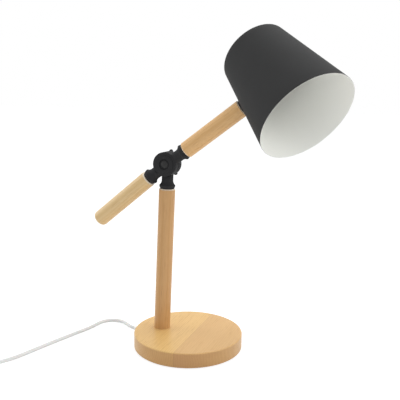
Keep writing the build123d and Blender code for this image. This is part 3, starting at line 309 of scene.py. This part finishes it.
# Rubber-like grey PVC jackets of the two cores
core_jacket = moulded("grey_pvc_jacket", "#9A9B9C", "#8F9091", 0.5, 1.0, 0.02, {})
finish_nodes(mild_steel, "base_weight")
finish_nodes(zinc_steel, "weight_screws", "cord_clamp", "clamp_screws", "foot_washer", "foot_nut",
             "switch_screws")
finish_nodes(foam, "base_pad")
finish_nodes(core_jacket, "post_wire", "arm_wire", "holder_lead")
finish_nodes(soft_pvc, "cord_tail")

# Post, arm and stub: lengths of one beech-like rubberwood dowel, turned, sanded along the grain and
# lacquered. Each is glued over a spigot of the hinge. Their colours differ as their cuts do.


def rising(degrees):
    """The direction in the lamp's own upright plane that rises by these degrees from +X."""
    angle = math.radians(degrees)
    return Vector((math.cos(angle), 0, math.sin(angle)))


chamfer = 1.2


def dowel_wood(name, start, axis, pale, deep, pore, near, far):
    """Lacquered dowel whose grain follows its own axis, with painted highlights on its chamfers at near and
    far, in mm.
    """
    made, tree, shader = surface(name, {"Specular IOR Level": 0.35, "Coat Weight": 0.12,
                                        "Coat Roughness": 0.3})
    place = add(tree, "ShaderNodeTexCoord").outputs["Object"]
    turn = axis.to_track_quat("Z", "Y").to_euler()
    turned = add(tree, "ShaderNodeMapping", {"Vector": place, "Location": start * MM, "Rotation": turn},
                 vector_type="TEXTURE")
    colour, height = wood_grain(tree, turned.outputs[0], pale, deep, pore, 0.3)
    along = add(tree, "ShaderNodeSeparateXYZ", {0: turned.outputs[0]}).outputs["Z"]
    middle = (near + far) / 2 * MM
    from_middle = add(tree, "ShaderNodeMath", {0: along, 1: middle}, operation="SUBTRACT")
    distance = add(tree, "ShaderNodeMath", {0: from_middle.outputs[0]}, operation="ABSOLUTE")
    # painted highlight: a pale band along each end chamfer, where the edge catches the light
    cut_edge = (far - near) / 2 - chamfer
    chamfer_highlight = add(tree, "ShaderNodeMapRange", {"Value": distance.outputs[0], "From Min": (cut_edge - 0.1) * MM,
                                           "From Max": (cut_edge + 0.2) * MM, "To Max": 0.75})
    highlighted = add(tree, "ShaderNodeMix", {"Factor": chamfer_highlight.outputs[0], "A": colour, "B": linear("#FBEFDC")},
                data_type="RGBA")
    lacquered(tree, shader, highlighted.outputs["Result"], height)
    return made


post_foot = Vector((-39.7, 0, board_top))
post_axis = rising(88)
pivot_reach = 233.4
pivot = post_foot + post_axis * pivot_reach
# the arm lies in front of the post and passes a little under the bolt, and the stub droops a little
arm_lift = 36.85
arm_front = 6.0
arm_under = 1.2
stub_droop = 2.65
stub_shoulder = 32.5
arm_axis = rising(arm_lift)
arm_origin = pivot - Vector((0, arm_front, 0)) - rising(arm_lift + 90) * arm_under
stub_axis = -rising(arm_lift + stub_droop)
stub_start = arm_origin - arm_axis * stub_shoulder
# Rubberwood dowel: warm tan, straight grain, short brown pores
post_wood = dowel_wood("lacquered_dowel_post", post_foot, post_axis, "#D5AA78", "#C4955D", "#A47342",
                       near=-30.0, far=199.4)
arm_wood = dowel_wood("lacquered_dowel_arm", arm_origin, arm_axis, "#ECC28A", "#D8A96D", "#B5854F",
                      near=34.0, far=129.1)
stub_wood = dowel_wood("lacquered_dowel_stub", stub_start, stub_axis, "#ECD0A0", "#D9B781", "#BB9563",
                       near=0.5, far=140.0)
finish_nodes(post_wood, "post")
finish_nodes(arm_wood, "upper_arm")
finish_nodes(stub_wood, "stub_rod")

# Tubes and inserts: hollow threaded steel tube clamps the post to the base and the shade to the arm,
# each in a turned brass insert glued in the wood.

# Drawn brass: warm yellow, darkened a little by handling
brass = metal("drawn_brass", "#C9A35A", "#B08A45", 0.3, 4.0)
finish_nodes(brass, "post_insert", "arm_insert", "knob_nut")
finish_nodes(zinc_steel, "post_tube", "swivel_tube", "holder_tube")

# Hinge: two discs moulded in black glass-filled nylon with their necks, a fibre ring between them,
# and a carriage bolt whose domed head sits in the front disc. Its moulded edges are a little eased.


def plain_mesh(piece):
    """Turns a piece with modifiers into a plain mesh and drops them."""
    made = bpy.data.meshes.new_from_object(piece.evaluated_get(bpy.context.evaluated_depsgraph_get()))
    made.name = piece.name
    piece.modifiers.clear()
    piece.data = made


def eased(node, body, material, width_mm, cut_angle=32):
    """Replaces a CAD node by a copy with its flats made whole and its sharp edges rounded."""
    shape = bmesh.new()
    shape.from_mesh(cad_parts[node].data)
    bmesh.ops.remove_doubles(shape, verts=shape.verts, dist=0.002 * MM)
    bmesh.ops.dissolve_limit(shape, angle_limit=math.radians(0.4), verts=shape.verts, edges=shape.edges)
    mesh = bpy.data.meshes.new(node + "_eased")
    shape.to_mesh(mesh)
    shape.free()
    piece = bpy.data.objects.new(node + "_eased", mesh)
    bpy.context.collection.objects.link(piece)
    edge = piece.modifiers.new("eased_edges", "BEVEL")
    edge.width = width_mm * MM
    edge.segments = 2
    edge.limit_method = "ANGLE"
    edge.angle_limit = math.radians(cut_angle)
    plain_mesh(piece)
    piece.data.shade_smooth()
    piece.data.set_sharp_from_angle(angle=math.radians(cut_angle))
    piece.data.materials.clear()
    piece.data.materials.append(material)
    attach(piece, body)
    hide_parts(node)


# Black nylon with a fine eroded grain: charcoal in the light, no clear reflections
nylon = moulded("black_moulded_nylon", "#303031", "#2C2C2D", 0.72, 0.7, 0.04, {"Specular IOR Level": 0.14})
# Vulcanised fibre: dry and dark brown
fibre = moulded("vulcanised_fibre", "#3A3230", "#332C2A", 0.8, 0.5, 0.03, {})
# Steel blackened in hot oxide: near black, soft sheen
black_steel = metal("black_oxide_steel", "#3C3C3C", "#343434", 0.5, 2.0)
eased("post_knuckle", "stand", nylon, 0.45)
eased("arm_knuckle", "arm", nylon, 0.45)
eased("wing_knob", "knob", nylon, 0.4)
eased("outer_saddle", "head", nylon, 0.25)
eased("inner_saddle", "head", nylon, 0.25)
finish_nodes(fibre, "friction_ring")
finish_nodes(black_steel, "hinge_bolt", "hinge_washer", "hinge_spring", "swivel_washer")
finish_nodes(zinc_steel, "swivel_spring", "swivel_nut")

# Shade: spun from 0.8 mm steel sheet over a cone, with a closed crown pierced by eight vents.
# Powder coated charcoal outside and an off-white inside; the two coats meet on the rim's cut edge.
rim_r = 64.0
crown_r = 45.0
shade_len = 124.0
shade_wall = 0.8
crown_round = 4.0
shade_turn = math.radians(26.3)
cone_angle = math.atan((rim_r - crown_r) / shade_len)
hang_at = 76.0
hang_reach = 130.6
hang_r = rim_r - hang_at * (rim_r - crown_r) / shade_len
swivel_x = rising(arm_lift - 90) * math.cos(shade_turn) - Vector((0, 1, 0)) * math.sin(shade_turn)
toward_rim = arm_axis * math.sin(cone_angle) + swivel_x * math.cos(cone_angle)
wall_inward = arm_axis * math.cos(cone_angle) - swivel_x * math.sin(cone_angle)
rim_centre = arm_origin + arm_axis * hang_reach + wall_inward * hang_r + toward_rim * hang_at


def standing(origin, z_way, x_way):
    """The matrix that puts a shape made round +Z at an origin in mm, with that axis and +X way."""
    turn = Matrix((x_way, z_way.cross(x_way), z_way)).transposed()
    return Matrix.Translation(origin * MM) @ turn.to_4x4()


shade_place = standing(rim_centre, -toward_rim, -wall_inward)


def cone_profile(inset):
    """Half of the shade's outline, from the rim to the crown's middle, drawn in by a wall thickness."""
    skin = inset / math.cos(cone_angle)
    radius = crown_round - inset
    top = shade_len - inset
    slope = math.tan(cone_angle)
    # the middle of the arc that joins the wall to the crown
    mid_z = top - radius
    mid_r = rim_r - skin - slope * mid_z - radius / math.cos(cone_angle)
    line = [(rim_r - skin - slope * z, z) for z in (0.0, 2.0, 20.0, 45.0, 70.0, 95.0, 115.0)]
    for i in range(9):
        angle = cone_angle + (math.pi / 2 - cone_angle) * i / 8
        line.append((mid_r + radius * math.cos(angle), mid_z + radius * math.sin(angle)))
    return line + [(mid_r * share, top) for share in (0.9, 0.6, 0.3, 0.0)]


# the crown's middle, down the outside, round the cut edge of the rim, and up the inside
edge_in = 0.15
edge_up = 0.12
outline = list(reversed(cone_profile(0)))
outline[-1] = (rim_r - edge_in, edge_up)
first_inner = len(outline)
outline += [(rim_r - shade_wall / 2, 0.0), (rim_r - shade_wall + edge_up, edge_up)]
outline += cone_profile(shade_wall)[1:]
shape = bmesh.new()
inside = shape.faces.layers.bool.new("inside")
steps = 160
rings = []
for radius, z in outline:
    ring = []
    for k in range(steps if radius > 0 else 1):
        place = heading(360 * k / steps) * radius + Vector((0, 0, z))
        ring.append(shape.verts.new(place * MM))
    rings.append(ring)
for row, (ring, following) in enumerate(zip(rings, rings[1:])):
    for k in range(steps):
        corners = [ring[k % len(ring)], following[k % len(following)],
                   following[(k + 1) % len(following)], ring[(k + 1) % len(ring)]]
        face = shape.faces.new(list(dict.fromkeys(corners)))
        face.smooth = True
        face[inside] = row >= first_inner
bmesh.ops.recalc_face_normals(shape, faces=shape.faces)
shade_mesh = bpy.data.meshes.new("shade_skin")
shape.to_mesh(shade_mesh)
shape.free()
shade_skin = bpy.data.objects.new("shade_skin", shade_mesh)
bpy.context.collection.objects.link(shade_skin)

# Powder coat, charcoal: flat and even, with the faint orange peel of baked powder
powder_coat = moulded("charcoal_powder_coat", "#3A3A3A", "#373737", 0.8, 2.5, 0.03,
                      {"Specular IOR Level": 0.12})
# Stove enamel, off-white: silky, it scatters the lamp's light
white_enamel = moulded("off_white_stove_enamel", "#FAFAF5", "#F8F8F2", 0.5, 3.0, 0.02, {})


def open_recipe(name, kinds):
    """A Geometry Nodes tree with one shape as its output, and its named inputs, each of a kind."""
    tree = bpy.data.node_groups.new(name, "GeometryNodeTree")
    for socket, kind in kinds.items():
        tree.interface.new_socket(socket, in_out="INPUT", socket_type="NodeSocket" + kind)
    tree.interface.new_socket("Geometry", in_out="OUTPUT", socket_type="NodeSocketGeometry")
    return tree, add(tree, "NodeGroupInput").outputs


vents, given = open_recipe("shade_piercings", {
    "Geometry": "Geometry", "Vents": "Int", "Vent ring radius": "Float", "Vent radius": "Float",
    "Crown height": "Float", "Tube hole radius": "Float", "Tube hole place": "Vector",
    "Tube hole turn": "Float", "Outside": "Material", "Inside": "Material"})
vent_ring = add(vents, "GeometryNodeMeshCircle", {"Vertices": given["Vents"],
                                                  "Radius": given["Vent ring radius"]})
punch = add(vents, "GeometryNodeMeshCylinder", {"Vertices": 24, "Radius": given["Vent radius"],
                                                "Depth": 8 * MM})
punches = add(vents, "GeometryNodeInstanceOnPoints", {"Points": vent_ring.outputs[0],
                                                      "Instance": punch.outputs["Mesh"]})
solid_punches = add(vents, "GeometryNodeRealizeInstances", {0: punches.outputs[0]})
crown_way = add(vents, "ShaderNodeCombineXYZ", {"Z": given["Crown height"]})
raised = add(vents, "GeometryNodeTransform", {"Geometry": solid_punches.outputs[0],
                                              "Translation": crown_way.outputs[0]})
drill = add(vents, "GeometryNodeMeshCylinder", {"Vertices": 32, "Radius": given["Tube hole radius"],
                                                "Depth": 12 * MM})
drill_turn = add(vents, "ShaderNodeCombineXYZ", {"Y": given["Tube hole turn"]})
set_drill = add(vents, "GeometryNodeTransform", {"Geometry": drill.outputs["Mesh"],
                                                 "Translation": given["Tube hole place"],
                                                 "Rotation": drill_turn.outputs[0]})
cutters = add(vents, "GeometryNodeJoinGeometry", {0: raised.outputs[0]})
vents.links.new(set_drill.outputs[0], cutters.inputs[0])
pierced = add(vents, "GeometryNodeMeshBoolean", {"Mesh 1": given["Geometry"],
                                                 "Mesh 2": cutters.outputs[0]},
              operation="DIFFERENCE", solver="EXACT")
whole = add(vents, "GeometryNodeRealizeInstances", {0: pierced.outputs["Mesh"]})
outer_paint = add(vents, "GeometryNodeSetMaterial", {"Geometry": whole.outputs[0],
                                                     "Material": given["Outside"]})
is_inside = add(vents, "GeometryNodeInputNamedAttribute", {"Name": "inside"}, data_type="BOOLEAN")
inner_paint = add(vents, "GeometryNodeSetMaterial",
                  {"Geometry": outer_paint.outputs[0], "Material": given["Inside"],
                   "Selection": is_inside.outputs["Attribute"]})
add(vents, "NodeGroupOutput", {"Geometry": inner_paint.outputs[0]})


def follow_recipe(piece, tree, values):
    """Runs a Geometry Nodes tree on a piece, its inputs set by identifier, and keeps a plain mesh."""
    made = piece.modifiers.new(tree.name, "NODES")
    made.node_group = tree
    for item in tree.interface.items_tree:
        if item.in_out == "INPUT" and item.name in values:
            made[item.identifier] = values[item.name]
    plain_mesh(piece)


follow_recipe(shade_skin, vents, {
    "Vents": 8, "Vent ring radius": 29 * MM, "Vent radius": 2.5 * MM, "Crown height": shade_len * MM,
    "Tube hole radius": 5.2 * MM, "Tube hole place": (hang_r * MM, 0, hang_at * MM),
    "Tube hole turn": math.pi / 2 - cone_angle, "Outside": powder_coat, "Inside": white_enamel})
shade_skin.data.transform(shade_place)
shade_skin.data.set_sharp_from_angle(angle=math.radians(35))
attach(shade_skin, "head")
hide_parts("shade", "crown_plate")

# Lamp holder: a bracket of steel strip carries a phenolic holder for an E27 bulb, with a porcelain
# core, a plated thread shell and a sprung contact. Ribs moulded on the sleeve give the hand a grip.

# Phenolic: black, hard and glossy
phenolic = moulded("black_phenolic", "#1B1B1C", "#171718", 0.3, 1.5, 0.01, {})
# Glazed porcelain: milk white
porcelain = moulded("white_porcelain", "#EEECE6", "#E8E6DF", 0.2, 2.0, 0.01,
                    {"Coat Weight": 0.3, "Coat Roughness": 0.1})
eased("holder_bracket", "head", zinc_steel, 0.2)
finish_nodes(zinc_steel, "holder_nut")
finish_nodes(phenolic, "holder_cap")
eased("holder_sleeve", "head", phenolic, 0.3)
finish_nodes(porcelain, "holder_core")
# Nickel plate: bright with a yellow cast
nickel = metal("nickel_plated_brass", "#CFC9BC", "#BDB7AA", 0.18, 3.0)
finish_nodes(nickel, "thread_shell")
finish_nodes(brass, "centre_contact")

grips, given = open_recipe("ring_of_ribs", {"Ribs": "Int", "Ring radius": "Float", "Rib radius": "Float",
                                            "Rib length": "Float", "Material": "Material"})
rib_ring = add(grips, "GeometryNodeMeshCircle", {"Vertices": given["Ribs"], "Radius": given["Ring radius"]})
rib = add(grips, "GeometryNodeMeshCylinder", {"Vertices": 10, "Radius": given["Rib radius"],
                                              "Depth": given["Rib length"]})
ribs = add(grips, "GeometryNodeInstanceOnPoints", {"Points": rib_ring.outputs[0],
                                                   "Instance": rib.outputs["Mesh"]})
whole = add(grips, "GeometryNodeRealizeInstances", {0: ribs.outputs[0]})
painted = add(grips, "GeometryNodeSetMaterial", {"Geometry": whole.outputs[0],
                                                 "Material": given["Material"]})
add(grips, "NodeGroupOutput", {"Geometry": painted.outputs[0]})

# the holder's foot is this far inside the rim, and its ribs start this far along it
holder_deep = 106.2
ribs_at = 30.0
ribs_start = rim_centre - toward_rim * (holder_deep - ribs_at)
holder_grips = bpy.data.objects.new("holder_grips", bpy.data.meshes.new("holder_grips"))
bpy.context.collection.objects.link(holder_grips)
follow_recipe(holder_grips, grips, {"Ribs": 36, "Ring radius": 19.9 * MM, "Rib radius": 0.6 * MM,
                                    "Rib length": 20 * MM, "Material": phenolic})
holder_grips.data.transform(standing(ribs_start, toward_rim, -wall_inward))
holder_grips.data.shade_smooth()
holder_grips.data.set_sharp_from_angle(angle=math.radians(50))
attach(holder_grips, "head")

# Cord switch: two glossy white shells screwed together round the cord, with a rocker in the top.
# The pins' sleeves and the cord's gland are moulded of the same plastic.

# ABS: clean white, hard and glossy
abs_shell = moulded("white_abs", "#F2F2F0", "#EDEDEA", 0.28, 1.0, 0.01, {})
finish_nodes(abs_shell, "switch_base", "switch_cover", "switch_rocker", "pin_sleeves", "cord_gland")

# Tie and plug: a flat white strap holds the coil, and a flat two-pin plug is moulded on the cord
# with a tapered, ribbed strain relief that lets it bend. Its pins are solid and nickel plated.
finish_nodes(soft_pvc, "cord_tie", "plug_body")
finish_nodes(nickel, "plug_pins")

relief, given = open_recipe("strain_relief_rings", {
    "Rings": "Int", "Spacing": "Float", "Ring radius": "Float", "Growth": "Float",
    "Bead radius": "Float", "Material": "Material"})
step_way = add(relief, "ShaderNodeCombineXYZ", {"Z": given["Spacing"]})
row = add(relief, "GeometryNodeMeshLine", {"Count": given["Rings"], "Offset": step_way.outputs[0]},
          mode="OFFSET")
circle = add(relief, "GeometryNodeCurvePrimitiveCircle", {"Resolution": 32,
                                                          "Radius": given["Ring radius"]})
bead = add(relief, "GeometryNodeCurvePrimitiveCircle", {"Resolution": 10,
                                                        "Radius": given["Bead radius"]})
hoop = add(relief, "GeometryNodeCurveToMesh", {"Curve": circle.outputs[0],
                                               "Profile Curve": bead.outputs[0]})
# each ring is a little wider than the one before it, as the relief is
number = add(relief, "GeometryNodeInputIndex")
growth = add(relief, "ShaderNodeMath", {0: number.outputs[0], 1: given["Growth"], 2: 1.0},
             operation="MULTIPLY_ADD")
hoop_scale = add(relief, "ShaderNodeCombineXYZ", {"X": growth.outputs[0], "Y": growth.outputs[0],
                                                  "Z": 1.0})
hoops = add(relief, "GeometryNodeInstanceOnPoints", {"Points": row.outputs[0],
                                                     "Instance": hoop.outputs[0],
                                                     "Scale": hoop_scale.outputs[0]})
whole = add(relief, "GeometryNodeRealizeInstances", {0: hoops.outputs[0]})
painted = add(relief, "GeometryNodeSetMaterial", {"Geometry": whole.outputs[0],
                                                  "Material": given["Material"]})
add(relief, "NodeGroupOutput", {"Geometry": painted.outputs[0]})

first_ring = 3.0
relief_start = plug_start + plug_way * (cord_d + first_ring)
relief_rings = bpy.data.objects.new("plug_relief_rings", bpy.data.meshes.new("plug_relief_rings"))
bpy.context.collection.objects.link(relief_rings)
follow_recipe(relief_rings, relief, {"Rings": 6, "Spacing": 2.6 * MM, "Ring radius": 3.65 * MM,
                                     "Growth": 0.033, "Bead radius": 0.5 * MM, "Material": soft_pvc})
relief_rings.data.transform(standing(relief_start, plug_way, plug_way.cross(Vector((0, 0, 1)))))
relief_rings.data.shade_smooth()
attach(relief_rings, "stand")

# Floor: a plain white table that melts into the background and keeps a faint shadow of the lamp.
# To the camera and in reflections it glows at just under white, and light falls on it as on paper.
half_floor = 12.0
floor_corners = [(-half_floor, -half_floor, 0), (half_floor, -half_floor, 0),
                 (half_floor, half_floor, 0), (-half_floor, half_floor, 0)]
floor_mesh = bpy.data.meshes.new("floor")
floor_mesh.from_pydata(floor_corners, [], [(0, 1, 2, 3)])
floor = bpy.data.objects.new("floor", floor_mesh)
bpy.context.collection.objects.link(floor)
paper = bpy.data.materials.new("white_backdrop_paper")
paper.use_nodes = True
tree = paper.node_tree
tree.nodes.remove(tree.nodes["Principled BSDF"])


def shown_rays(tree):
    """1 for rays that show the backdrop: the camera's, and those of gloss and glass."""
    rays = add(tree, "ShaderNodeLightPath").outputs
    two = add(tree, "ShaderNodeMath", {0: rays["Is Camera Ray"], 1: rays["Is Glossy Ray"]},
              operation="ADD")
    all_three = add(tree, "ShaderNodeMath", {0: two.outputs[0], 1: rays["Is Transmission Ray"]},
                    operation="ADD", use_clamp=True)
    return all_three.outputs[0]


lit = add(tree, "ShaderNodeBsdfDiffuse", {"Color": (0.9, 0.9, 0.9, 1)})
kept_shadow = add(tree, "ShaderNodeBsdfDiffuse", {"Color": (0.42, 0.42, 0.42, 1)})
glow = add(tree, "ShaderNodeEmission", {"Color": (1, 1, 1, 1), "Strength": 0.77})
seen = add(tree, "ShaderNodeAddShader", {0: glow.outputs[0], 1: kept_shadow.outputs[0]})
mixed = add(tree, "ShaderNodeMixShader", {0: shown_rays(tree), 1: lit.outputs[0], 2: seen.outputs[0]})
tree.links.new(mixed.outputs[0], tree.nodes["Material Output"].inputs["Surface"])
floor_mesh.materials.append(paper)

# Studio: an even pale room, a wide softbox overhead and a softer one on each side.
# The camera's side has none, so the fronts stay a little darker than the tops.
room = bpy.data.worlds.new("studio")
room.use_nodes = True
bpy.context.scene.world = room
tree = room.node_tree
ambient = add(tree, "ShaderNodeBackground", {"Color": (0.97, 0.985, 1.0, 1), "Strength": 0.63})
white = add(tree, "ShaderNodeBackground", {"Color": (1, 1, 1, 1), "Strength": 1.0})
mixed = add(tree, "ShaderNodeMixShader", {0: shown_rays(tree), 1: ambient.outputs[0], 2: white.outputs[0]})
tree.links.new(mixed.outputs[0], tree.nodes["World Output"].inputs["Surface"])
aim = Vector((0, 0, 0.22))
for name, place, size, power in (("overhead_softbox", (0.1, 0.5, 1.75), 1.5, 16.5),
                                 ("right_softbox", (1.6, 0.1, 0.7), 1.0, 6.5),
                                 ("left_softbox", (-1.6, -0.1, 0.7), 1.0, 5.5)):
    light = bpy.data.lights.new(name, "AREA")
    light.size = size
    light.energy = power
    lamp = bpy.data.objects.new(name, light)
    lamp.location = place
    lamp.rotation_euler = (Vector(place) - aim).to_track_quat("Z", "Y").to_euler()
    bpy.context.collection.objects.link(lamp)

bpy.context.scene.view_settings.view_transform = "Standard"
